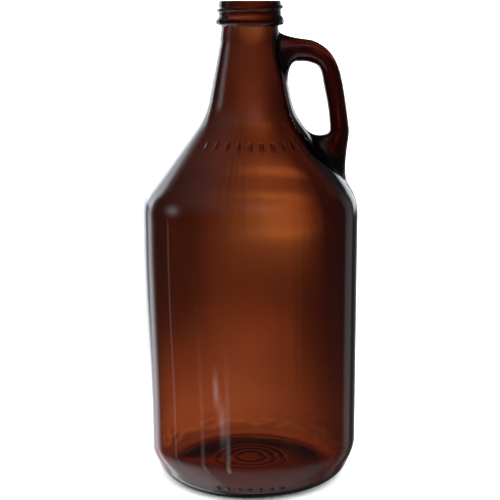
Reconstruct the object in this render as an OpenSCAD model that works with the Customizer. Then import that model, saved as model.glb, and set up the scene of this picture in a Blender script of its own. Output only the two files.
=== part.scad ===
// Half-gallon growler: a moulded glass jug with a screw-thread finish and a finger handle.
// Millimetres. It stands on z = 0 with its axis on Z, and the handle points along +X.
// The glass is one rigid piece. Each node is one region of it, and the regions meet face to face.

/* [Body] */
// Outer diameter of the straight side wall
body_d = 124; // [118:0.5:130]
// Height from the standing surface to the sealing rim
total_h = 275; // [270:0.5:285]
// Thickness of the glass in the neck, shoulder and side wall
wall_t = 3.4; // [2.8:0.1:4]

/* [Base] */
// Radius of the long curve that draws the side wall in above the heel
taper_r = 50; // [40:1:80]
// Angle that the long curve turns through
taper_turn = 24; // [16:1:28]
// Radius of the tight curve at the heel
heel_r = 14; // [8:0.5:16]
// Thickness of the floor
floor_t = 5; // [4:0.5:9]
// Rise of the push-up under the middle of the floor
push_up = 5; // [3:0.5:8]
// Width of the flat ring that the jug stands on
bearing_w = 3; // [2:0.5:5]

/* [Shoulder and neck] */
// Height at which the lines of the side wall and the shoulder would cross
shoulder_z = 164.5; // [160:0.5:168]
// Radius of the curve between the side wall and the shoulder
shoulder_r = 24; // [16:1:32]
// Height at which the lines of the shoulder and the neck would cross
neck_z = 212; // [208:0.5:216]
// Outer diameter at that crossing
neck_d = 50; // [48:0.5:54]
// Radius of the curve between the shoulder and the neck
neck_r = 37; // [20:1:44]
// Outer diameter at the top of the neck, under the bead
neck_top_d = 32.4; // [32:0.1:33.5]

/* [Finish] */
// Outer diameter over the thread
thread_d = 37.5; // [37.2:0.1:37.8]
// Outer diameter of the plain wall that carries the thread
finish_d = 35.1; // [34.8:0.1:35.4]
// Rise of the thread in one turn
thread_pitch = 4.23; // [4:0.01:4.5]
// Diameter of the straight bore of the mouth
mouth_d = 27; // [26:0.5:27.5]
// Diameter of the transfer bead
bead_d = 38.6; // [38:0.1:40]
// Height of the finish, from the sealing rim to the underside of the bead
finish_h = 13.8; // [13.4:0.1:14.4]

/* [Handle] */
// Width of the handle's grip along Y
grip_w = 12; // [10:0.5:15]

/* [Marks] */
// Number of raised bars on the front of the shoulder
mark_count = 9; // [5:2:11]
// Number of mould dots on the front of the heel
dot_count = 7; // [3:2:9]

/* [Hidden] */
$fn = 96;
amber = "#8a4a1c";
body_r = body_d / 2;
arc_steps = 12;

// Levels at which the regions of the glass meet
finish_z = total_h - finish_h;
heel_z = heel_r + (taper_r - heel_r) * sin(taper_turn);

// Centre of the tight heel curve, and the edges of the bearing ring
heel_x = body_r - taper_r + (taper_r - heel_r) * cos(taper_turn);
bearing_in = heel_x - bearing_w;

// Corners of the outside and of the inside, from the heel to the bead
neck_waist = [17, 252];
neck_waist_r = 20;
outside = [
    [body_r, heel_z],
    [body_r, shoulder_z],
    [neck_d / 2, neck_z],
    neck_waist,
    [neck_top_d / 2, finish_z]
];
inside = [for (i = [0:3]) inset(outside, i, wall_t)];

// The inner heel, one wall thickness and one floor thickness inside the outer one
inner_heel_r = 8;
inner_taper_r = taper_r - wall_t;
inner_heel_x = body_r - taper_r + (inner_taper_r - inner_heel_r) * cos(taper_turn);
inner_heel_z = floor_t + inner_heel_r + (inner_taper_r - inner_heel_r) * sin(taper_turn);

// Sealing rim and bead
lip_r = 0.8;
mouth_lip_r = 0.5;
bead_h = 5.4;
bead_edge_r = 1.4;
bead_under = 0.6;
bead_top = 1.8;
step_w = 0.5;
step_h = 0.6;

// Thread: the turns it makes, where it starts, its section and its steps in a turn
thread_turns = 1.1;
thread_start_z = total_h - 7.6;
thread_base_w = 2.6;
thread_crest_w = 1.0;
thread_sink = 0.3;
thread_steps = 40;
thread_fade = 0.08;

// Handle: [outer edge, inner edge, half width along Y] at stations from the neck to the shoulder
grip_hw = grip_w / 2;
stations = [
    [[12, 258.5], [16, 227], grip_hw + 4],
    [[20.5, 255.8], [22.4, 235.6], grip_hw + 2],
    [[28, 254.2], [27.2, 241.5], grip_hw + 0.7],
    [[36.5, 252.6], [32, 241.4], grip_hw],
    [[44.4, 247.4], [37.2, 239.6], grip_hw],
    [[49.5, 239.6], [40, 235.8], grip_hw],
    [[52.4, 229.5], [41.6, 228.6], grip_hw],
    [[54.7, 216], [44.2, 215.6], grip_hw],
    [[56.4, 204], [45.3, 205.4], grip_hw + 0.7],
    [[54.8, 192], [40.5, 199.4], grip_hw + 2.8],
    [[53, 180], [33, 196.6], grip_hw + 5],
    [[49, 172], [27, 191], grip_hw + 6]
];
handle_sides = 20;
station_steps = 4;

// Raised bars across the front of the shoulder, and mould dots round the front of the heel
mark_z = 196.5;
mark_len = 3.6;
mark_r = 1;
mark_rise = 0.4;
mark_spread = 80;
dot_z = 9;
dot_r = 1.1;
dot_rise = 0.5;
dot_spread = 36;
front = -90;
fine_fn = 360;

// Points of an arc about c, from angle a0 to angle a1
function arc(c, r, a0, a1, n = arc_steps) =
    [for (i = [0:n]) let (a = a0 + (a1 - a0) * i / n) c + r * [cos(a), sin(a)]];

function unit(v) = v / norm(v);

// The line's normal that points to the inside of the glass, for a line that runs upwards
function inward(p, q) = let (u = unit(q - p)) [-u[1], u[0]];

// Corner i of an outline moved inwards by t
function inset(pts, i, t) =
    let (n1 = inward(pts[max(i - 1, 0)], pts[max(i, 1)]), n2 = inward(pts[i], pts[i + 1]))
    pts[i] + t * (n1 + n2) / (1 + n1 * n2);

// A corner at p between the lines to a and b, rounded with radius r
function rounded(a, p, b, r, n = arc_steps) =
    let (u = unit(a - p), v = unit(b - p), half = acos(u * v) / 2,
         c = p + unit(u + v) * r / sin(half), s = p + u * r / tan(half) - c, e = p + v * r / tan(half) - c,
         a0 = atan2(s[1], s[0]), turn = atan2(s[0] * e[1] - s[1] * e[0], s * e))
    arc(c, r, a0, a0 + turn, n);

// Height of the point where the curve at a rounded corner meets the line to b
function tangent_z(a, p, b, r) =
    let (u = unit(a - p), v = unit(b - p)) p[1] + v[1] * r / tan(acos(u * v) / 2);

shoulder_foot_z = tangent_z(outside[2], outside[1], outside[0], shoulder_r);
neck_foot_z = tangent_z(outside[1], outside[2], outside[3], neck_r);

// The outer outline, from the axis at the push-up to the underside of the bead
push_up_r = (bearing_in * bearing_in + push_up * push_up) / (2 * push_up);
push_up_a = asin(bearing_in / push_up_r);
outer_line = concat(
    arc([0, push_up - push_up_r], push_up_r, 90, 90 - push_up_a),
    arc([heel_x, heel_r], heel_r, -90, -taper_turn),
    arc([body_r - taper_r, heel_z], taper_r, -taper_turn, 0),
    rounded(outside[0], outside[1], outside[2], shoulder_r),
    rounded(outside[1], outside[2], outside[3], neck_r),
    rounded(outside[2], outside[3], outside[4], neck_waist_r, 4),
    [outside[4]]);

// The inner outline, from the axis at the floor to the bore of the mouth
inner_line = concat(
    [[0, floor_t + push_up]],
    arc([inner_heel_x, floor_t + inner_heel_r], inner_heel_r, -90, -taper_turn),
    arc([body_r - taper_r, inner_heel_z], inner_taper_r, -taper_turn, 0),
    rounded(inside[0], inside[1], inside[2], shoulder_r - wall_t),
    rounded(inside[1], inside[2], inside[3], neck_r + wall_t),
    [inside[3], [mouth_d / 2, finish_z]]);

// The outside of the jug below the bead, filled in
module outer_form() {
    rotate_extrude() polygon(concat(outer_line, [[0, finish_z]]));
}

// The ring of glass between two levels
module glass_between(low, high) {
    rotate_extrude() intersection() {
        polygon(concat(outer_line, [for (i = [len(inner_line) - 1:-1:0]) inner_line[i]]));
        translate([0, low]) square([body_d, high - low]);
    }
}

module neck() {
    color(amber) glass_between(neck_foot_z, finish_z);
}

module shoulder() {
    color(amber) glass_between(shoulder_foot_z, neck_foot_z);
}

module side_wall() {
    color(amber) glass_between(heel_z, shoulder_foot_z);
}

module base() {
    color(amber) glass_between(0, heel_z);
}

// Mouth: the plain wall, the rounded lip and the transfer bead, with the straight bore
module finish() {
    bead_r = bead_d / 2;
    bead_z = finish_z + bead_h;
    wall_r = finish_d / 2;
    neck_top = [neck_top_d / 2, finish_z];
    color(amber) rotate_extrude() polygon(concat(
        [[mouth_d / 2, finish_z], neck_top],
        rounded(neck_top, [bead_r, finish_z + bead_under], [bead_r, bead_z], bead_edge_r, 6),
        rounded([bead_r, finish_z], [bead_r, bead_z - bead_top], [wall_r, bead_z], bead_edge_r, 6),
        [[wall_r + step_w, bead_z], [wall_r, bead_z + step_h]],
        arc([wall_r - lip_r, total_h - lip_r], lip_r, 0, 90, 5),
        arc([mouth_d / 2 + mouth_lip_r, total_h - mouth_lip_r], mouth_lip_r, 90, 180, 4)));
}

// Height of the thread above the wall, as a share of its full height, at turn t
function fade(t) = min(1, max(0.02, min(t, thread_turns - t) / thread_fade));

// One section of the thread: its foot lies thread_sink inside the wall
function thread_ring(t) =
    let (z = thread_start_z + thread_pitch * t, foot = finish_d / 2 - thread_sink,
         crest = finish_d / 2 + (thread_d - finish_d) / 2 * fade(t),
         section = [[foot, -thread_base_w / 2], [crest, -thread_crest_w / 2],
                    [crest, thread_crest_w / 2], [foot, thread_base_w / 2]])
    [for (p = section) [p[0] * cos(360 * t), p[0] * sin(360 * t), z + p[1]]];

// A closed tube through rings that all have the same number of points
module tube(rings) {
    n = len(rings[0]);
    last = len(rings) - 1;
    sides = [for (i = [0:last - 1]) for (j = [0:n - 1])
        let (k = (j + 1) % n) [i * n + j, i * n + k, (i + 1) * n + k, (i + 1) * n + j]];
    caps = [[for (j = [n - 1:-1:0]) j], [for (j = [0:n - 1]) last * n + j]];
    polyhedron([for (ring = rings) for (p = ring) p], concat(sides, caps));
}

module screw_thread() {
    count = round(thread_turns * thread_steps);
    color(amber) tube([for (i = [0:count]) thread_ring(i * thread_turns / count)]);
}

// A smooth curve through stations, at share t of the way from station i to the next
function smooth(v, i, t) =
    let (n = len(v) - 1, a = v[max(i - 1, 0)], b = v[i], c = v[min(i + 1, n)], d = v[min(i + 2, n)])
    0.5 * (2 * b + (c - a) * t + (2 * a - 5 * b + 4 * c - d) * t * t + (3 * b - a - 3 * c + d) * t * t * t);

// An oval ring of the handle, from its outer edge, its inner edge and its half width
function oval(outer, inner, hw) =
    let (mid = (outer + inner) / 2, reach = (outer - inner) / 2)
    [for (j = [0:handle_sides - 1]) let (a = 360 * j / handle_sides)
        [mid[0] + reach[0] * cos(a), hw * sin(a), mid[1] + reach[1] * cos(a)]];

// Handle: a swept oval, cut where it meets the neck and the shoulder
module handle() {
    outer = [for (s = stations) s[0]];
    inner = [for (s = stations) s[1]];
    hw = [for (s = stations) s[2]];
    count = (len(stations) - 1) * station_steps;
    color(amber) difference() {
        tube([for (k = [0:count]) let (i = floor(k / station_steps), t = k / station_steps - i)
            oval(smooth(outer, i, t), smooth(inner, i, t), smooth(hw, i, t))]);
        outer_form();
    }
}

// Radius of the outside at height z, on the line between the corners below and above it
function line_r(p, q, z) = p[0] + (q[0] - p[0]) * (z - p[1]) / (q[1] - p[1]);

// Marks: upright rounded bars that follow the slope of the shoulder
module shoulder_marks() {
    slope = atan2(outside[1][0] - outside[2][0], outside[2][1] - outside[1][1]);
    mark_x = line_r(outside[1], outside[2], mark_z);
    color(amber) difference() {
        for (i = [0:mark_count - 1])
            rotate([0, 0, front + mark_spread * (i / (mark_count - 1) - 0.5)])
                translate([mark_x, 0, mark_z]) rotate([0, -slope, 0])
                    translate([mark_rise - mark_r, 0, 0]) {
                        cylinder(r = mark_r, h = mark_len, center = true);
                        for (end = [-1, 1]) translate([0, 0, end * mark_len / 2]) sphere(r = mark_r);
                    }
        outer_form($fn = fine_fn);
    }
}

// Heel dots: small domes on the lower curve of the base
module heel_dots() {
    dot_x = body_r - taper_r + sqrt(taper_r * taper_r - (heel_z - dot_z) * (heel_z - dot_z));
    color(amber) difference() {
        for (i = [0:dot_count - 1])
            rotate([0, 0, front + dot_spread * (i / (dot_count - 1) - 0.5)])
                translate([dot_x + dot_rise - dot_r, 0, dot_z]) sphere(r = dot_r);
        outer_form($fn = fine_fn);
    }
}

finish();
screw_thread();
neck();
shoulder();
side_wall();
base();
handle();
shoulder_marks();
heel_dots();
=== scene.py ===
"""A half-gallon amber glass growler.

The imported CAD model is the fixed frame. The real jug is one moulding, so one closed glass mesh stands for
all its regions: outside, thread, lip, inside and floor are rows of one grid, and the handle is a tube
stitched into two openings of that grid.
"""

import math

import bmesh
import bpy
import numpy as np
from mathutils import Matrix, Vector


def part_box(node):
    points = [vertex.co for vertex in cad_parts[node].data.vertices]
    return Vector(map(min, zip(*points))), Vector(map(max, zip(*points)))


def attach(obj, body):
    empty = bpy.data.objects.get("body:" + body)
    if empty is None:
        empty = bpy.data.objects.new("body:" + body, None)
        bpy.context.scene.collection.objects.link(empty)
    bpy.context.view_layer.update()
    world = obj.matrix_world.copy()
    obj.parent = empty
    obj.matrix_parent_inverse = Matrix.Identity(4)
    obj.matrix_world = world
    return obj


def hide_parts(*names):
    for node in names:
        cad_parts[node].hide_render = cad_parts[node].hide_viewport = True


MM = 0.001

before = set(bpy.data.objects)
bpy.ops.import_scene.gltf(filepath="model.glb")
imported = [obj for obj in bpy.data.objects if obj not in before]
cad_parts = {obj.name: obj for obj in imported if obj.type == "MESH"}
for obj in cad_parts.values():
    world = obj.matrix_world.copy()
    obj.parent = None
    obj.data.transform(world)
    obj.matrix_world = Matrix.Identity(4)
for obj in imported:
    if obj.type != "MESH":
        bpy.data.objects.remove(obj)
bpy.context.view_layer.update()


def top_of(node):
    """Height of a CAD node's upper end, in millimetres."""
    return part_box(node)[1].z / MM


def reach_of(node):
    """How far a CAD node reaches along +X, in millimetres."""
    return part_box(node)[1].x / MM


# ---------------------------------------------------------------- sizes, in millimetres, from the frame
BODY_R = reach_of("side_wall")
THREAD_R = reach_of("screw_thread")
BEAD_R = reach_of("finish")
RIM_Z = top_of("finish")
BEAD_Z = top_of("neck")
HEEL_Z = top_of("base")

# Glass thickness, the corners of the outline, the radii that round them, and the stretch where the bends
# are eased, with how far the easing reaches along the outside and the inside
WALL = 3.4
SHOULDER_CORNER_Z = 164.5
SHOULDER_ROUND = 24
NECK_CORNER = (25, 212)
NECK_ROUND = 37
NECK_WAIST = (17, 252)
WAIST_ROUND = 20
NECK_TOP_R = 16.2
EASED_Z = (125, 240)
EASE_FADE = 15
OUTER_EASE = 7
INNER_EASE = 14

# Base: the long taper and the crease that starts it, the tight heel, the bearing ring, the push-up and the
# floor
TAPER_R = 50
CREASE_R = 24
INNER_CREASE_R = 26
HEEL_R = 14
BEARING_W = 3
PUSH_UP = 5
FLOOR = 5
INNER_HEEL_R = 8

# Finish
FINISH_WALL_R = 17.55
MOUTH_R = 13.5
LIP_R = 0.8
MOUTH_LIP_R = 0.5
BEAD_H = 5.4
BEAD_UNDERSIDE_H = 0.6
BEAD_ROOT_R = 0.5
BEAD_EDGE_R = 1.4
BEAD_SLOPE_H = 1.8
BEAD_TOP_R = 0.6
THREAD_TURNS = 1.1
THREAD_PITCH = 4.23
THREAD_START = 7.6
THREAD_BASE_W = 2.6
THREAD_CREST_W = 0.9
THREAD_FADE = 0.07

# Grid: columns round the jug, and the heights and rows of the two zones that the handle opens
COLUMNS = 400
NECK_ZONE = (223.5, 259.8)
NECK_ZONE_ROWS = 40
SHOULDER_ZONE = (166, 208.5)
SHOULDER_ZONE_ROWS = 80
NECK_OPENING_COLUMNS = 80
HANDLE_SIDES = 2 * (NECK_ZONE_ROWS + NECK_OPENING_COLUMNS)
SHOULDER_OPENING_COLUMNS = HANDLE_SIDES // 2 - SHOULDER_ZONE_ROWS


# ---------------------------------------------------------------- outlines: radius and height
def arc(centre, radius, start, end, steps=24):
    """Points of an arc, from the start angle to the end angle in degrees."""
    a = np.radians(np.linspace(start, end, steps + 1))
    return np.array(centre) + radius * np.column_stack([np.cos(a), np.sin(a)])


def smooth(x):
    """0 to 1 with level ends."""
    x = np.clip(x, 0, 1)
    return x * x * (3 - 2 * x)


def unit(v):
    return np.asarray(v, float) / np.linalg.norm(v)


def rounded(a, p, b, radius, steps=24):
    """The corner at p between the lines to a and b, rounded."""
    a, p, b = (np.asarray(q, float) for q in (a, p, b))
    u, v = unit(a - p), unit(b - p)
    half = math.acos(u @ v) / 2
    centre = p + unit(u + v) * radius / math.sin(half)
    s = p + u * radius / math.tan(half) - centre
    e = p + v * radius / math.tan(half) - centre
    start = math.degrees(math.atan2(s[1], s[0]))
    turn = math.degrees(math.atan2(s[0] * e[1] - s[1] * e[0], s @ e))
    return arc(centre, radius, start, start + turn, steps)


def inset(points, t):
    """The corners of an outline that runs upwards, moved towards the axis by t."""
    moved = []
    for i in range(len(points) - 1):
        before = unit(np.subtract(points[max(i, 1)], points[max(i - 1, 0)]))
        after = unit(np.subtract(points[i + 1], points[i]))
        n1, n2 = (np.array([-d[1], d[0]]) for d in (before, after))
        moved.append(np.asarray(points[i], float) + t * (n1 + n2) / (1 + n1 @ n2))
    return moved


class Line:
    """A polyline with its length, so that points can be taken at any distance along it."""

    def __init__(self, *stretches):
        points = np.concatenate([np.atleast_2d(np.asarray(s, float)) for s in stretches])
        step = np.linalg.norm(np.diff(points, axis=0), axis=1)
        keep = np.concatenate([[True], step > 1e-6])
        self.points = points[keep]
        step = np.linalg.norm(np.diff(self.points, axis=0), axis=1)
        self.s = np.concatenate([[0], np.cumsum(step)])

    def at(self, s):
        return np.interp(s, self.s, self.points[:, 0]), np.interp(s, self.s, self.points[:, 1])

    def normal(self, s, reach=0.3):
        """The unit normal that points away from the glass, for a line that runs upwards outside."""
        r0, z0 = self.at(np.maximum(s - reach, 0))
        r1, z1 = self.at(np.minimum(s + reach, self.s[-1]))
        length = np.hypot(r1 - r0, z1 - z0)
        return (z1 - z0) / length, -(r1 - r0) / length

    def s_at_height(self, z, start=0.0):
        """Distance along the line at which it first reaches height z, past start."""
        for i in range(len(self.s) - 1):
            z0, z1 = self.points[i][1], self.points[i + 1][1]
            if self.s[i] >= start and z0 <= z < z1:
                return self.s[i] + (self.s[i + 1] - self.s[i]) * (z - z0) / (z1 - z0)
        raise ValueError(f"the outline doesn't reach {z}")


def eased(line, low, high, reach):
    """The line with its bends spread out between two heights, because blown glass has no sudden ones."""
    start, end = line.s_at_height(low), line.s_at_height(high)
    s = np.linspace(start, end, 4 * round(end - start))
    plain = np.column_stack(line.at(s))
    offsets = np.linspace(-reach, reach, 33)
    weights = 1 + np.cos(math.pi * offsets / reach)
    soft = sum(w * np.column_stack(line.at(s + d)) for w, d in zip(weights, offsets)) / weights.sum()
    share = smooth(np.minimum(s - start, end - s) / EASE_FADE)
    changed = plain + share[:, None] * (soft - plain)
    return Line(line.points[line.s < start], changed, line.points[line.s > end])


taper_turn = math.degrees(math.asin((HEEL_Z - HEEL_R) / (TAPER_R - HEEL_R)))
taper_x = BODY_R - TAPER_R
heel_x = taper_x + (TAPER_R - HEEL_R) * math.cos(math.radians(taper_turn))
bearing_in = heel_x - BEARING_W
outer_corners = [
    (BODY_R, HEEL_Z), (BODY_R, SHOULDER_CORNER_Z), NECK_CORNER, NECK_WAIST, (NECK_TOP_R, BEAD_Z),
]
inner_corners = inset(outer_corners, WALL)


def crease(radius, reach):
    """The bend from the wall into the taper of the heel. reach is the radius of the CAD's wider bend."""
    turn = math.radians(taper_turn)
    below = (taper_x + reach * math.cos(turn), HEEL_Z - reach * math.sin(turn))
    corner = (taper_x + reach, HEEL_Z - reach * math.tan(turn / 2))
    return rounded(below, corner, (taper_x + reach, HEEL_Z), radius, 16)


def outer_outline():
    """From the axis under the push-up, over the outside, to the top of the sealing rim."""
    dome_r = (bearing_in ** 2 + PUSH_UP ** 2) / (2 * PUSH_UP)
    dome_a = math.degrees(math.asin(bearing_in / dome_r))
    bead_top = BEAD_Z + BEAD_H
    bead_low = (BEAD_R, BEAD_Z + BEAD_UNDERSIDE_H)
    bead_high = (BEAD_R, bead_top - BEAD_SLOPE_H)
    bead_root = (FINISH_WALL_R + 0.3, bead_top + 0.1)
    below, neck = outer_corners[3:]
    return Line(
        arc((0, PUSH_UP - dome_r), dome_r, 90, 90 - dome_a),
        arc((heel_x, HEEL_R), HEEL_R, -90, -taper_turn),
        crease(CREASE_R, TAPER_R),
        rounded(*outer_corners[0:3], SHOULDER_ROUND),
        rounded(*outer_corners[1:4], NECK_ROUND),
        rounded(*outer_corners[2:5], WAIST_ROUND),
        rounded(below, neck, bead_low, BEAD_ROOT_R, 6),
        rounded(neck, bead_low, (BEAD_R, bead_top), BEAD_EDGE_R, 12),
        rounded((BEAD_R, BEAD_Z), bead_high, (FINISH_WALL_R, bead_top), BEAD_EDGE_R, 12),
        rounded((BEAD_R, bead_top - 0.6), bead_root, (FINISH_WALL_R, RIM_Z), BEAD_TOP_R, 8),
        arc((FINISH_WALL_R - LIP_R, RIM_Z - LIP_R), LIP_R, 0, 90, 10),
    )


def inner_outline():
    """From the axis on the floor, up the inside, to the top of the sealing rim."""
    inner_taper = TAPER_R - WALL
    turn = math.radians(taper_turn)
    x = taper_x + (inner_taper - INNER_HEEL_R) * math.cos(turn)
    z = FLOOR + INNER_HEEL_R + (inner_taper - INNER_HEEL_R) * math.sin(turn)
    rise = np.array([0, z - HEEL_Z])
    dome_r = (x ** 2 + PUSH_UP ** 2) / (2 * PUSH_UP)
    dome_a = math.degrees(math.asin(x / dome_r))
    return Line(
        arc((0, FLOOR + PUSH_UP - dome_r), dome_r, 90, 90 - dome_a),
        arc((x, FLOOR + INNER_HEEL_R), INNER_HEEL_R, -90, -taper_turn),
        crease(INNER_CREASE_R, inner_taper) + rise,
        rounded(*inner_corners[0:3], SHOULDER_ROUND - WALL),
        rounded(*inner_corners[1:4], NECK_ROUND + WALL),
        rounded(inner_corners[2], inner_corners[3], (MOUTH_R, BEAD_Z), WAIST_ROUND, 6),
        rounded(inner_corners[3], (MOUTH_R, BEAD_Z), (MOUTH_R, RIM_Z), WAIST_ROUND, 6),
        arc((MOUTH_R + MOUTH_LIP_R, RIM_Z - MOUTH_LIP_R), MOUTH_LIP_R, 180, 90, 6),
    )


# ---------------------------------------------------------------- relief on the outside, in millimetres
def thread_relief(theta, z):
    """The raised right-hand thread, which fades out at both ends."""
    height = np.zeros_like(theta)
    for lap in (0, 1):
        t = theta / (2 * math.pi) + lap
        crest = RIM_Z - THREAD_START + THREAD_PITCH * t
        side = (THREAD_BASE_W / 2 - np.abs(z - crest)) / ((THREAD_BASE_W - THREAD_CREST_W) / 2)
        end = smooth(np.minimum(t, THREAD_TURNS - t) / THREAD_FADE)
        height = np.maximum(height, (THREAD_R - FINISH_WALL_R) * smooth(side) * end)
    return height


def between(z, rising, falling):
    """1 from the end of one stretch of height, where it rises, to the start of another, where it falls."""
    rise = smooth((z - rising[0]) / (rising[1] - rising[0]))
    return rise * smooth((falling[1] - z) / (falling[1] - falling[0]))


def away_from(theta, middle):
    """The angle from middle, from -pi to pi."""
    return (theta - middle + math.pi) % (2 * math.pi) - math.pi


FRONT = -math.pi / 2
MARK_COUNT = 9
MARK_Z = 196.5
MARK_ZONE_H = 8
MARK_LEN = 3.6
MARK_W = 0.8
MARK_RISE = 0.4
MARK_SPREAD = math.radians(80)
SHOULDER_SLOPE = 0.79  # rise for each mm along the shoulder
DOT_COUNT = 7
DOT_Z = 9
DOT_ZONE = (5, 14)
DOT_W = 1.1
DOT_RISE = 0.8
DOT_SPREAD = math.radians(36)


def row_round_front(theta, r, count, spread):
    """Sideways distance to the nearest of count places spread about the front."""
    away = away_from(theta, FRONT)
    step = spread / (count - 1)
    nearest = np.clip(np.round(away / step), -(count - 1) / 2, (count - 1) / 2) * step
    return (away - nearest) * r


def dome(distance, width, rise):
    """The height of a rounded bump at a distance from its middle line. width is half its width."""
    return rise * np.sqrt(np.clip(1 - (distance / width) ** 2, 0, 1))


def mark_relief(theta, r, z):
    """Plain upright bars across the front of the shoulder."""
    side = row_round_front(theta, r, MARK_COUNT, MARK_SPREAD)
    along = np.maximum(np.abs(z - MARK_Z) / SHOULDER_SLOPE - MARK_LEN / 2, 0)
    return dome(np.hypot(side, along), MARK_W, MARK_RISE)


def dot_relief(theta, r, z):
    """Plain mould dots low on the front of the heel."""
    side = row_round_front(theta, r, DOT_COUNT, DOT_SPREAD)
    return dome(np.hypot(side, z - DOT_Z), DOT_W, DOT_RISE)


KNURLS = 100
KNURL_DEPTH = 0.25
KNURL_HALF_LEN = 3.2
KNURL_TOP_Z = 1.5


def knurl_relief(theta, r):
    """Radial grooves in the bearing ring, cut upwards into the glass."""
    across = smooth(1 - np.abs(r - (bearing_in + heel_x + 1) / 2) / KNURL_HALF_LEN)
    return -KNURL_DEPTH * across * (0.5 - 0.5 * np.cos(KNURLS * theta))


PUSH_UP_RINGS = (8, 14, 20)
PUSH_UP_RING_RISE = 0.3
PUSH_UP_RING_W = 1.1


def ring_relief(r):
    """Round ridges under the push-up, one inside the other, as the mould's plug leaves them."""
    return sum(PUSH_UP_RING_RISE * np.exp(-(((r - ring) / PUSH_UP_RING_W) ** 2)) for ring in PUSH_UP_RINGS)


SEAM_RISE = 0.12
SEAM_HALF_W = 0.016


def seam_relief(theta, z):
    """The mould's parting line, which runs up both sides in the plane of the handle."""
    away = np.abs((theta + math.pi / 2) % math.pi - math.pi / 2)
    fade = smooth((z - 4) / 6) * smooth((BEAD_Z - 1 - z) / 3)
    return SEAM_RISE * fade * np.exp(-((away / SEAM_HALF_W) ** 2))


# Slow waves of the surface: [waves round the jug, wavelength along the height, weight], and the number of
# fine upright lines round it
RIPPLE_WAVES = [(2, 190, 0.5), (3, 95, 0.3), (5, 60, 0.25), (8, 130, 0.2)]
DRAW_LINE_TURNS = [31, 47, 71, 89]


def ripple(theta, z, seed):
    """A slow unevenness of about -1 to 1, the same on every run."""
    total = 0
    for k, (turns, tall, weight) in enumerate(RIPPLE_WAVES):
        phase = seed * 1.7 + k * 2.3
        level = np.sin(2 * math.pi * z / tall + 1.3 * phase)
        total = total + weight * np.sin(turns * theta + phase) * level
    return total


def draw_lines(theta, z):
    """Fine upright lines of about -1 to 1, which come and go along the height."""
    total = 0
    for k, turns in enumerate(DRAW_LINE_TURNS):
        fade = np.sin((3 + k) * theta + z / (34 + 9 * k) + k)
        total = total + 0.35 * np.sin(turns * theta + 1.9 * k) * fade
    return total


# How uneven the blown glass is, in millimetres, with the heights and angles at which it is so, and how far
# from the base and the bead it is calm
OUTER_CALM_H = 20
OUTER_RIPPLE = 0.03
DRAW_LINES = 0.01
INNER_RIPPLE = 0.14
HANDLE_SIDE_THICKER = 1.1
HANDLE_SIDE_HALF_W = 0.62
HANDLE_SIDE_RISING = (30, 140)
HANDLE_SIDE_FALLING = (208, 236)
FRONT_HALF_W = 1.2
SHOULDER_THINNER = 0.4
SHOULDER_THINNEST_Z = 186
SHOULDER_THIN_H = 11
THROAT_THICKER = 0.55
THROAT_Z = 216
THROAT_THICK_H = 9
HEEL_WAVES = 0.12
HEEL_WAVES_Z = FLOOR + 6
HEEL_WAVES_H = 5
HEEL_WAVES_R = 34
LEAN = 2.4
LEAN_TOP_Z = 140
LEAN_H = 120

outer_line = eased(outer_outline(), *EASED_Z, OUTER_EASE)
inner_line = eased(inner_outline(), *EASED_Z, INNER_EASE)
s_bearing = outer_line.s_at_height(0.0001)


def settled(theta, r, z):
    """The radius with the lower body settled a little inwards on the side away from the handle."""
    side = smooth(-np.cos(theta))
    return r * (1 - LEAN / BODY_R * side * smooth((LEAN_TOP_Z - z) / LEAN_H))


def outer_point(theta, s):
    """Points on the outside at angle theta and distance s along the outline."""
    r, z = outer_line.at(s)
    nr, nz = outer_line.normal(s)
    under_push_up = (r < bearing_in - 2) & (z < PUSH_UP + 1)
    relief = np.where(z > BEAD_Z + BEAD_H - 0.5, thread_relief(theta, z), 0)
    relief = relief + np.where(np.abs(z - MARK_Z) < MARK_ZONE_H, mark_relief(theta, r, z), 0)
    relief = relief + np.where((z > DOT_ZONE[0]) & (z < DOT_ZONE[1]), dot_relief(theta, r, z), 0)
    relief = relief + np.where(z < KNURL_TOP_Z, knurl_relief(theta, r), 0)
    relief = relief + np.where(under_push_up, ring_relief(r), 0)
    relief = relief + seam_relief(theta, z)
    calm = smooth(z / OUTER_CALM_H) * smooth((BEAD_Z - z) / OUTER_CALM_H)
    relief = relief + calm * (OUTER_RIPPLE * ripple(theta, z, 1) + DRAW_LINES * draw_lines(theta, z))
    r = settled(theta, r + nr * relief, z)
    z = z + nz * relief
    return np.stack([r * np.cos(theta), r * np.sin(theta), z], axis=-1)


def thicker_side(theta, z):
    """How far the inside moves, so that the shoulder and the wall are thicker on the handle's side."""
    tall = between(z, HANDLE_SIDE_RISING, HANDLE_SIDE_FALLING)
    return -HANDLE_SIDE_THICKER * tall * np.exp(-((away_from(theta, 0) / HANDLE_SIDE_HALF_W) ** 2))


def uneven_front(theta, z):
    """How far the inside moves, so that the front is thinner on the shoulder and thicker under the neck."""
    thinner = SHOULDER_THINNER * np.exp(-(((z - SHOULDER_THINNEST_Z) / SHOULDER_THIN_H) ** 2))
    thicker = THROAT_THICKER * np.exp(-(((z - THROAT_Z) / THROAT_THICK_H) ** 2))
    return (thinner - thicker) * np.exp(-((away_from(theta, FRONT) / FRONT_HALF_W) ** 4))


def heel_settle(theta, r, z):
    """Uneven waves where the glass of the wall has settled on the floor."""
    near = np.exp(-(((z - HEEL_WAVES_Z) / HEEL_WAVES_H) ** 2)) * smooth((r - HEEL_WAVES_R) / 10)
    waves = np.sin(11 * theta + 1) * np.sin(0.9 * z + 2 * theta) + 0.6 * np.sin(23 * theta + 0.7 * z)
    return HEEL_WAVES * near * waves


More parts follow.
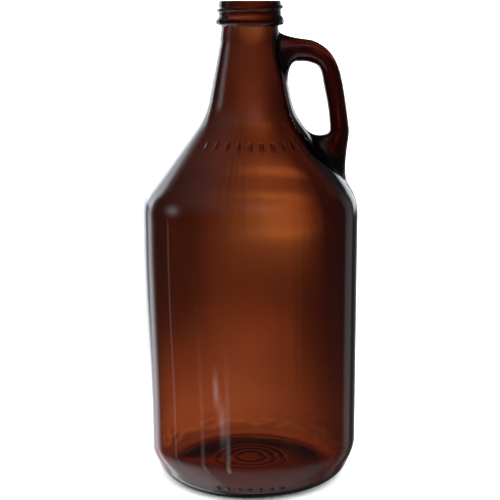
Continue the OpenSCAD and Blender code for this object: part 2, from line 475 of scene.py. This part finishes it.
def inner_point(theta, s):
    """Points on the inside. The wall's thickness varies slowly, as in blown glass."""
    r, z = inner_line.at(s)
    nr, nz = inner_line.normal(s)
    calm = smooth((z - FLOOR) / 25) * smooth((BEAD_Z - 20 - z) / 30)
    shift = INNER_RIPPLE * calm * ripple(theta, z, 4) + thicker_side(theta, z) + heel_settle(theta, r, z)
    shift = shift + uneven_front(theta, z)
    r = settled(theta, r + nr * shift, z)
    z = z + nz * shift
    return np.stack([r * np.cos(theta), r * np.sin(theta), z], axis=-1)


# ---------------------------------------------------------------- handle
# [outer edge, inner edge, half width] at stations from the neck to the shoulder, in millimetres
STATIONS = [
    ((28, 254.2), (27.2, 241.5), 6.7),
    ((36.5, 252.6), (32, 241.4), 6),
    ((44.4, 247.4), (37.2, 239.6), 6),
    ((49.5, 239.6), (40, 235.8), 6),
    ((52.4, 229.5), (41.6, 228.6), 6),
    ((54.7, 216), (44.2, 215.6), 6),
    ((56.4, 204), (45.3, 205.4), 6.7),
]
HANDLE_SQUARENESS = 0.035
HANDLE_SEAM_SHARPNESS = 14
RINGS_PER_STATION = 14
MORPH_RINGS = 8
ROOT_RINGS = 18

# Where the roots meet the glass: [low, high] along the height, and the half width in degrees
NECK_FOOT = (227, 258.3, 30)
SHOULDER_FOOT = (170.5, 204, 14.1)

# How hard each root pulls off the glass, and then out of the handle: [side, outer edge, inner edge]
NECK_PULL = ((8, 5, 20), (8, 12, 14))
SHOULDER_PULL = ((14, 30, 22), (12, 17, 22))


def smooth_through(values, i, t):
    """A smooth curve through values, at share t of the way from value i to the next."""
    n = len(values) - 1
    a, b, c, d = (values[min(max(k, 0), n)] for k in (i - 1, i, i + 1, i + 2))
    if i == 0:
        a = 2 * b - c
    if i + 1 == n:
        d = 2 * c - b
    square, cube = 2 * a - 5 * b + 4 * c - d, 3 * b - a - 3 * c + d
    return 0.5 * (2 * b + (c - a) * t + square * t * t + cube * t ** 3)


def handle_ring(outer, inner, half_width):
    """An oval ring of the handle, with its mould seam. It starts on the outer edge and goes round by +Y."""
    a = 2 * math.pi * np.arange(HANDLE_SIDES) / HANDLE_SIDES
    mid, reach = (outer + inner) / 2, (outer - inner) / 2
    bulge = 1 + HANDLE_SQUARENESS * np.sin(2 * a) ** 2
    seam = 1 + SEAM_RISE / np.linalg.norm(reach) * np.exp(-((np.sin(a) * HANDLE_SEAM_SHARPNESS) ** 2))
    x = mid[0] + reach[0] * np.cos(a) * bulge * seam
    y = half_width * np.sin(a) * bulge
    z = mid[1] + reach[1] * np.cos(a) * bulge * seam
    return np.column_stack([x, y, z])


def handle_rings():
    """The rings of the handle between its two roots, from the neck to the shoulder."""
    outer = [np.array(s[0], float) for s in STATIONS]
    inner = [np.array(s[1], float) for s in STATIONS]
    width = [float(s[2]) for s in STATIONS]
    rings = []
    for k in range((len(STATIONS) - 1) * RINGS_PER_STATION + 1):
        i = min(k // RINGS_PER_STATION, len(STATIONS) - 2)
        t = k / RINGS_PER_STATION - i
        rings.append(handle_ring(*(smooth_through(v, i, t) for v in (outer, inner, width))))
    return rings


def opening_steps(columns, rows, from_top):
    """(column, row) steps round an opening in the grid, from the middle of its top or bottom towards +Y."""
    half = columns // 2
    steps = [(c, rows) for c in range(0, half)]
    steps += [(half, r) for r in range(rows, 0, -1)]
    steps += [(c, 0) for c in range(half, -half, -1)]
    steps += [(-half, r) for r in range(0, rows)]
    steps += [(c, rows) for c in range(-half, 0)]
    if not from_top:
        steps = [(c, rows - r) for c, r in steps]
    return np.array(steps)


def root_rings(edge, foot, end_ring, axis, pull, from_top):
    """Rings from a rectangular opening, over the glass to an oval foot, and on to the handle's end ring."""
    low, high = (outer_line.s_at_height(z, s_bearing) for z in foot[:2])
    a = 2 * math.pi * np.arange(HANDLE_SIDES) / HANDLE_SIDES
    sign = 1 if from_top else -1
    middle = (low + high) / 2
    up = middle + sign * (high - low) / 2 * np.cos(a)
    oval = np.column_stack([math.radians(foot[2]) * np.sin(a), up])
    rings = [outer_point(*(edge + (oval - edge) * k / MORPH_RINGS).T) for k in range(1, MORPH_RINGS + 1)]
    inwards = oval + (np.array([0, middle]) - oval) * 0.02
    leave = outer_point(*inwards.T) - rings[-1]
    leave = leave / np.linalg.norm(leave, axis=1)[:, None]
    c = np.cos(a)
    strength = [s + (o - i) / 2 * c + ((o + i) / 2 - s) * c * c for s, o, i in pull]
    start_pull, end_pull = leave * strength[0][:, None], np.outer(strength[1], axis)
    start = rings[-1]
    for k in range(1, ROOT_RINGS):
        t = k / ROOT_RINGS
        rings.append(
            (2 * t ** 3 - 3 * t ** 2 + 1) * start
            + (t ** 3 - 2 * t ** 2 + t) * start_pull
            + (3 * t ** 2 - 2 * t ** 3) * end_ring
            + (t ** 3 - t ** 2) * end_pull
        )
    return rings


# ---------------------------------------------------------------- the grid
def spaced(start, end, rows):
    """Distances from start up to but not including end."""
    return list(np.linspace(start, end, rows, endpoint=False))


def outer_rows():
    """Distances along the outside for every row, and the first row of each zone that the handle opens."""
    def at(z):
        return outer_line.s_at_height(z, s_bearing)

    to_ring_edge = np.abs(outer_line.points[:, 0] - bearing_in) + outer_line.points[:, 1]
    s_in = outer_line.s[np.argmin(to_ring_edge)]
    s = spaced(1, s_in - 4, 56) + spaced(s_in - 4, s_bearing + 1, 18) + spaced(s_bearing + 1, at(6), 18)
    s += spaced(at(6), at(13), 18) + spaced(at(13), at(HEEL_Z), 20) + spaced(at(HEEL_Z), at(150), 56)
    s += spaced(at(150), at(SHOULDER_ZONE[0]), 14)
    shoulder_row = len(s)
    s += spaced(at(SHOULDER_ZONE[0]), at(SHOULDER_ZONE[1]), SHOULDER_ZONE_ROWS)
    s += spaced(at(SHOULDER_ZONE[1]), at(NECK_ZONE[0]), 16)
    neck_row = len(s)
    s += spaced(at(NECK_ZONE[0]), at(NECK_ZONE[1]), NECK_ZONE_ROWS)
    s += spaced(at(NECK_ZONE[1]), outer_line.s[-1], 100)
    return np.array(s), shoulder_row, neck_row


def inner_rows():
    """Distances along the inside for every row, from the lip down to the floor."""
    at = inner_line.s_at_height
    s = spaced(inner_line.s[-1], at(RIM_Z - 1), 8) + spaced(at(RIM_Z - 1), at(240), 24)
    s += spaced(at(240), at(200), 34) + spaced(at(200), at(150), 40) + spaced(at(150), at(30), 50)
    s += spaced(at(30), 1, 46) + [1]
    return np.array(s)


def loop_faces(a, b):
    """Quads between two loops of vertex numbers."""
    return np.column_stack([a, np.roll(a, -1), np.roll(b, -1), b])


def jug_mesh():
    """The whole jug as vertices in millimetres, quads and triangles."""
    s_out, shoulder_row, neck_row = outer_rows()
    s_in = inner_rows()
    theta = 2 * math.pi * np.arange(COLUMNS) / COLUMNS
    grid = [outer_point(theta, np.full(COLUMNS, s)) for s in s_out]
    grid += [inner_point(theta, np.full(COLUMNS, s)) for s in s_in]
    points = list(np.concatenate(grid))
    number = np.arange(len(points)).reshape(-1, COLUMNS)

    opened = np.zeros((len(number) - 1, COLUMNS), bool)
    edges = {}
    for name, row, rows, columns, from_top in (
        ("neck", neck_row, NECK_ZONE_ROWS, NECK_OPENING_COLUMNS, True),
        ("shoulder", shoulder_row, SHOULDER_ZONE_ROWS, SHOULDER_OPENING_COLUMNS, False),
    ):
        half = columns // 2
        opened[row:row + rows, np.arange(-half, half)] = True
        steps = opening_steps(columns, rows, from_top)
        numbers = number[row + steps[:, 1], steps[:, 0] % COLUMNS]
        places = np.column_stack([steps[:, 0] * 2 * math.pi / COLUMNS, s_out[row + steps[:, 1]]])
        edges[name] = (numbers, places)

    quads = []
    for i in range(len(number) - 1):
        faces = loop_faces(number[i], number[i + 1])
        quads.append(faces[~opened[i]])

    tube = handle_rings()
    start_axis = unit(tube[1].mean(0) - tube[0].mean(0))
    end_axis = unit(tube[-2].mean(0) - tube[-1].mean(0))
    rings = root_rings(edges["neck"][1], NECK_FOOT, tube[0], start_axis, NECK_PULL, True)
    rings += tube
    rings += root_rings(edges["shoulder"][1], SHOULDER_FOOT, tube[-1], end_axis, SHOULDER_PULL, False)[::-1]
    loops = [edges["neck"][0]]
    for ring in rings:
        loops.append(np.arange(len(points), len(points) + HANDLE_SIDES))
        points.extend(ring)
    loops.append(edges["shoulder"][0])
    for a, b in zip(loops, loops[1:]):
        quads.append(loop_faces(b, a))
    quads = np.concatenate(quads)

    z_under = outer_line.at(0)[1]
    z_floor = inner_line.at(0)[1]
    under, floor = len(points), len(points) + 1
    points += [np.array([0, 0, z_under]), np.array([0, 0, z_floor])]
    fans = [np.column_stack([np.roll(number[0], -1), number[0], np.full(COLUMNS, under)]),
            np.column_stack([number[-1], np.roll(number[-1], -1), np.full(COLUMNS, floor)])]
    return np.array(points), quads, np.concatenate(fans)


def build_jug():
    """The jug as one closed, smooth-shaded mesh in metres."""
    points, quads, triangles = jug_mesh()
    used = np.unique(np.concatenate([quads.ravel(), triangles.ravel()]))
    new = np.full(len(points), -1)
    new[used] = np.arange(len(used))
    mesh = bpy.data.meshes.new("jug_glass")
    mesh.from_pydata((points[used] * MM).tolist(), [], new[quads].tolist() + new[triangles].tolist())
    bm = bmesh.new()
    bm.from_mesh(mesh)
    bmesh.ops.recalc_face_normals(bm, faces=bm.faces)
    bm.to_mesh(mesh)
    bm.free()
    mesh.polygons.foreach_set("use_smooth", [True] * len(mesh.polygons))
    jug = bpy.data.objects.new("jug_glass", mesh)
    bpy.context.scene.collection.objects.link(jug)
    return jug


# ---------------------------------------------------------------- materials
# The share of each colour that the glass doesn't absorb, and how strongly it absorbs the rest, per metre
GLASS_COLOUR = (0.6375, 0.30, 0.0625, 1)
GLASS_DENSITY = 800
GLASS_IOR = 1.52
FLOOR_COLOUR = (0.86, 0.86, 0.86, 1)


def new_material(name):
    material = bpy.data.materials.new(name)
    material.use_nodes = True
    nodes = material.node_tree.nodes
    return material, nodes, material.node_tree.links, nodes["Principled BSDF"]


def amber_glass():
    """Clear bottle glass that takes its colour from its depth."""
    material, nodes, links, surface = new_material("amber_glass")
    surface.inputs["Base Color"].default_value = (1, 1, 1, 1)
    surface.inputs["Transmission Weight"].default_value = 1
    surface.inputs["IOR"].default_value = GLASS_IOR
    surface.inputs["Roughness"].default_value = 0.0
    depth = nodes.new("ShaderNodeVolumeAbsorption")
    depth.inputs["Color"].default_value = GLASS_COLOUR
    depth.inputs["Density"].default_value = GLASS_DENSITY
    links.new(depth.outputs["Volume"], nodes["Material Output"].inputs["Volume"])
    return material


def floor_paint():
    """Matt pale paint."""
    material, _, _, surface = new_material("floor_paint")
    surface.inputs["Base Color"].default_value = FLOOR_COLOUR
    surface.inputs["Roughness"].default_value = 0.9
    surface.inputs["Specular IOR Level"].default_value = 0.2
    return material


# ---------------------------------------------------------------- stage
FLOOR_HALF = 6.0


def build_stage():
    """A pale floor. The glass doesn't mirror it or show it: it shows the panels round the studio."""
    corners = [(x * FLOOR_HALF, y * FLOOR_HALF, 0) for x, y in ((-1, -1), (1, -1), (1, 1), (-1, 1))]
    mesh = bpy.data.meshes.new("floor")
    mesh.from_pydata(corners, [], [(0, 1, 2, 3)])
    mesh.materials.append(floor_paint())
    floor = bpy.data.objects.new("floor", mesh)
    bpy.context.scene.collection.objects.link(floor)
    floor.visible_glossy = False
    floor.visible_transmission = False


# ---------------------------------------------------------------- light, as panels that glow far away
# [azimuth, elevation, half width, half height in degrees, level, tint, edge]. Azimuth 0 is behind the jug
# and 90 is on the handle's side. A panel fades smoothly at edge 1 and has a firm rim at edge 5.
TENT_LEVEL = 3.3
NEUTRAL = (1, 1, 1)
DAYLIGHT = (0.95, 1.0, 1.06)
GLOW = (1, 1.75, 1.5)
WARM = (1, 1.3, 1.2)

# What the glass lets through: an even level, the patches behind the jug, and then those at its sides
SEEN_THROUGH = [
    (0, 0, 400, 400, 0.22, NEUTRAL, 1),
    (2.8, -8.8, 3.6, 2.1, 2.35, GLOW, 1),
    (1.0, -5.5, 4.0, 2.5, 0.45, WARM, 1),
    (0.0, -11.6, 4.0, 2.0, 0.4, NEUTRAL, 1),
    (0.4, -14.6, 3.0, 1.5, 0.7, NEUTRAL, 1),
    (-2.5, -18.2, 7.0, 3.0, 1.4, WARM, 1),
    (-11, -19.0, 5.0, 2.8, 2.0, GLOW, 1),
    (-6, -32, 28, 12, 1.6, WARM, 1),
    (0, 1, 16, 8, 0.5, NEUTRAL, 1),
    (-45, -26, 12, 14, 1.4, WARM, 1),
    (-28, -24, 6, 5, 5.0, WARM, 1),
    (135, -14, 12, 12, 1.8, WARM, 1),
    (-90, -3, 12, 12, 1.6, WARM, 1),
]

# What the glass mirrors: an even level, the panels behind the jug, those at its left and overhead, the two
# below it, and the thin streaks of a window at the front left
MIRRORED = [
    (0, 0, 400, 400, 0.05, NEUTRAL, 1),
    (-22, -5, 14, 28, 2.2, DAYLIGHT, 3),
    (-47.5, -20, 6.5, 45, 1.9, DAYLIGHT, 1),
    (-34, -19, 8, 3.5, 2.0, DAYLIGHT, 1),
    (12, -12, 9, 30, 0.7, DAYLIGHT, 1),
    (-31, 13, 20, 12, 1.8, DAYLIGHT, 5),
    (28, 3, 9, 9, 1.8, DAYLIGHT, 3),
    (50, -12, 9, 30, 0.25, DAYLIGHT, 2),
    (-84.5, -24, 1.5, 20, 0.45, DAYLIGHT, 2),
    (-115, 46, 50, 22, 0.2, DAYLIGHT, 1),
    (-88, 14, 9, 8, 1.3, DAYLIGHT, 1),
    (165, 42, 20, 14, 0.3, DAYLIGHT, 1),
    (-75, -47, 45, 20, 0.9, DAYLIGHT, 3),
    (180, -65, 105, 38, 0.6, DAYLIGHT, 3),
    (-139.5, -18.1, 3.0, 0.6, 2.2, DAYLIGHT, 1),
    (-146, -19.2, 3.5, 0.7, 1.5, DAYLIGHT, 1),
    (-152.5, -28, 3, 9, 1.8, DAYLIGHT, 2),
    (-121, -32, 2.5, 13, 0.9, DAYLIGHT, 2),
]


class Wiring:
    """Short calls for the nodes of one shader."""

    def __init__(self, tree):
        self.nodes, self.links = tree.nodes, tree.links

    def feed(self, socket, value):
        """Link a socket, or set a plain value."""
        if isinstance(value, bpy.types.NodeSocket):
            self.links.new(value, socket)
        else:
            socket.default_value = value

    def math(self, operation, *values):
        """A math node on sockets or numbers."""
        node = self.nodes.new("ShaderNodeMath")
        node.operation = operation
        for socket, value in zip(node.inputs, values):
            self.feed(socket, value)
        return node.outputs["Value"]

    def vector(self, operation, a, b=None, scale=None):
        """A vector math node on sockets or numbers."""
        node = self.nodes.new("ShaderNodeVectorMath")
        node.operation = operation
        self.feed(node.inputs[0], a)
        if b is not None:
            self.feed(node.inputs[1], b)
        if scale is not None:
            self.feed(node.inputs["Scale"], scale)
        return node.outputs["Vector"]

    def distance(self, angle, half_width, edge):
        """How far an angle is from the panel's middle: 1 at half_width, and steeper the firmer the edge."""
        share = self.math("DIVIDE", angle, math.radians(half_width))
        return self.math("POWER", self.math("ABSOLUTE", share), 2 * edge)

    def panels(self, azimuth, elevation, panels):
        """The sum of the panels as a colour."""
        total = (0, 0, 0)
        for az, el, half_az, half_el, level, tint, edge in panels:
            turn = self.math("WRAP", self.math("SUBTRACT", azimuth, math.radians(az)), math.pi, -math.pi)
            lift = self.math("SUBTRACT", elevation, math.radians(el))
            away = self.math("ADD", self.distance(turn, half_az, edge), self.distance(lift, half_el, edge))
            glow = self.math("EXPONENT", self.math("MULTIPLY", away, -1))
            colour = tuple(level * c for c in tint)
            total = self.vector("ADD", total, self.vector("SCALE", colour, scale=glow))
        return total


def build_light():
    """One world: an even white tent for floor and view, panels for what the glass mirrors and shows."""
    world = bpy.data.worlds.new("studio")
    world.use_nodes = True
    tree = world.node_tree
    tree.nodes.clear()
    w = Wiring(tree)
    direction = tree.nodes.new("ShaderNodeTexCoord").outputs["Generated"]
    split = tree.nodes.new("ShaderNodeSeparateXYZ")
    tree.links.new(direction, split.inputs[0])
    azimuth = w.math("ARCTAN2", split.outputs["X"], split.outputs["Y"])
    elevation = w.math("ARCSINE", split.outputs["Z"])
    path = tree.nodes.new("ShaderNodeLightPath").outputs

    def background(colour):
        node = tree.nodes.new("ShaderNodeBackground")
        w.feed(node.inputs["Color"], colour)
        return node.outputs["Background"]

    def choose(switch, off, on):
        node = tree.nodes.new("ShaderNodeMixShader")
        tree.links.new(switch, node.inputs["Fac"])
        tree.links.new(off, node.inputs[1])
        tree.links.new(on, node.inputs[2])
        return node.outputs["Shader"]

    tent = background((TENT_LEVEL, TENT_LEVEL, TENT_LEVEL, 1))
    through = background(w.panels(azimuth, elevation, SEEN_THROUGH))
    mirrored = background(w.panels(azimuth, elevation, MIRRORED))
    light = choose(path["Is Glossy Ray"], tent, mirrored)
    light = choose(path["Is Transmission Ray"], light, through)
    output = tree.nodes.new("ShaderNodeOutputWorld")
    tree.links.new(light, output.inputs["Surface"])
    world.cycles.sampling_method = "NONE"
    bpy.context.scene.world = world


# ---------------------------------------------------------------- camera, in metres, radians and mm of lens
CAMERA_DISTANCE = 0.7195
CAMERA_BELOW_RIM = 0.0023
CAMERA_PITCH = 0.1916
CAMERA_ROLL = -0.001
LENS = 91.04


def build_camera():
    """Level with the rim, about two and a half jug heights away, tilted down at the jug."""
    data = bpy.data.cameras.new("camera")
    data.lens = LENS
    camera = bpy.data.objects.new("camera", data)
    place = Matrix.Translation((0, -CAMERA_DISTANCE, RIM_Z * MM - CAMERA_BELOW_RIM))
    tilt = Matrix.Rotation(math.pi / 2 - CAMERA_PITCH, 4, "X")
    camera.matrix_world = place @ tilt @ Matrix.Rotation(CAMERA_ROLL, 4, "Z")
    bpy.context.scene.collection.objects.link(camera)
    bpy.context.scene.camera = camera


def set_view():
    """Plain colours, and enough bounces for two walls of glass and the handle."""
    scene = bpy.context.scene
    scene.view_settings.view_transform = "Standard"
    scene.cycles.max_bounces = 24
    scene.cycles.transmission_bounces = 24
    scene.cycles.glossy_bounces = 12


build_camera()
build_stage()
build_light()
set_view()

jug = build_jug()
jug.data.materials.append(amber_glass())
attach(jug, "root")
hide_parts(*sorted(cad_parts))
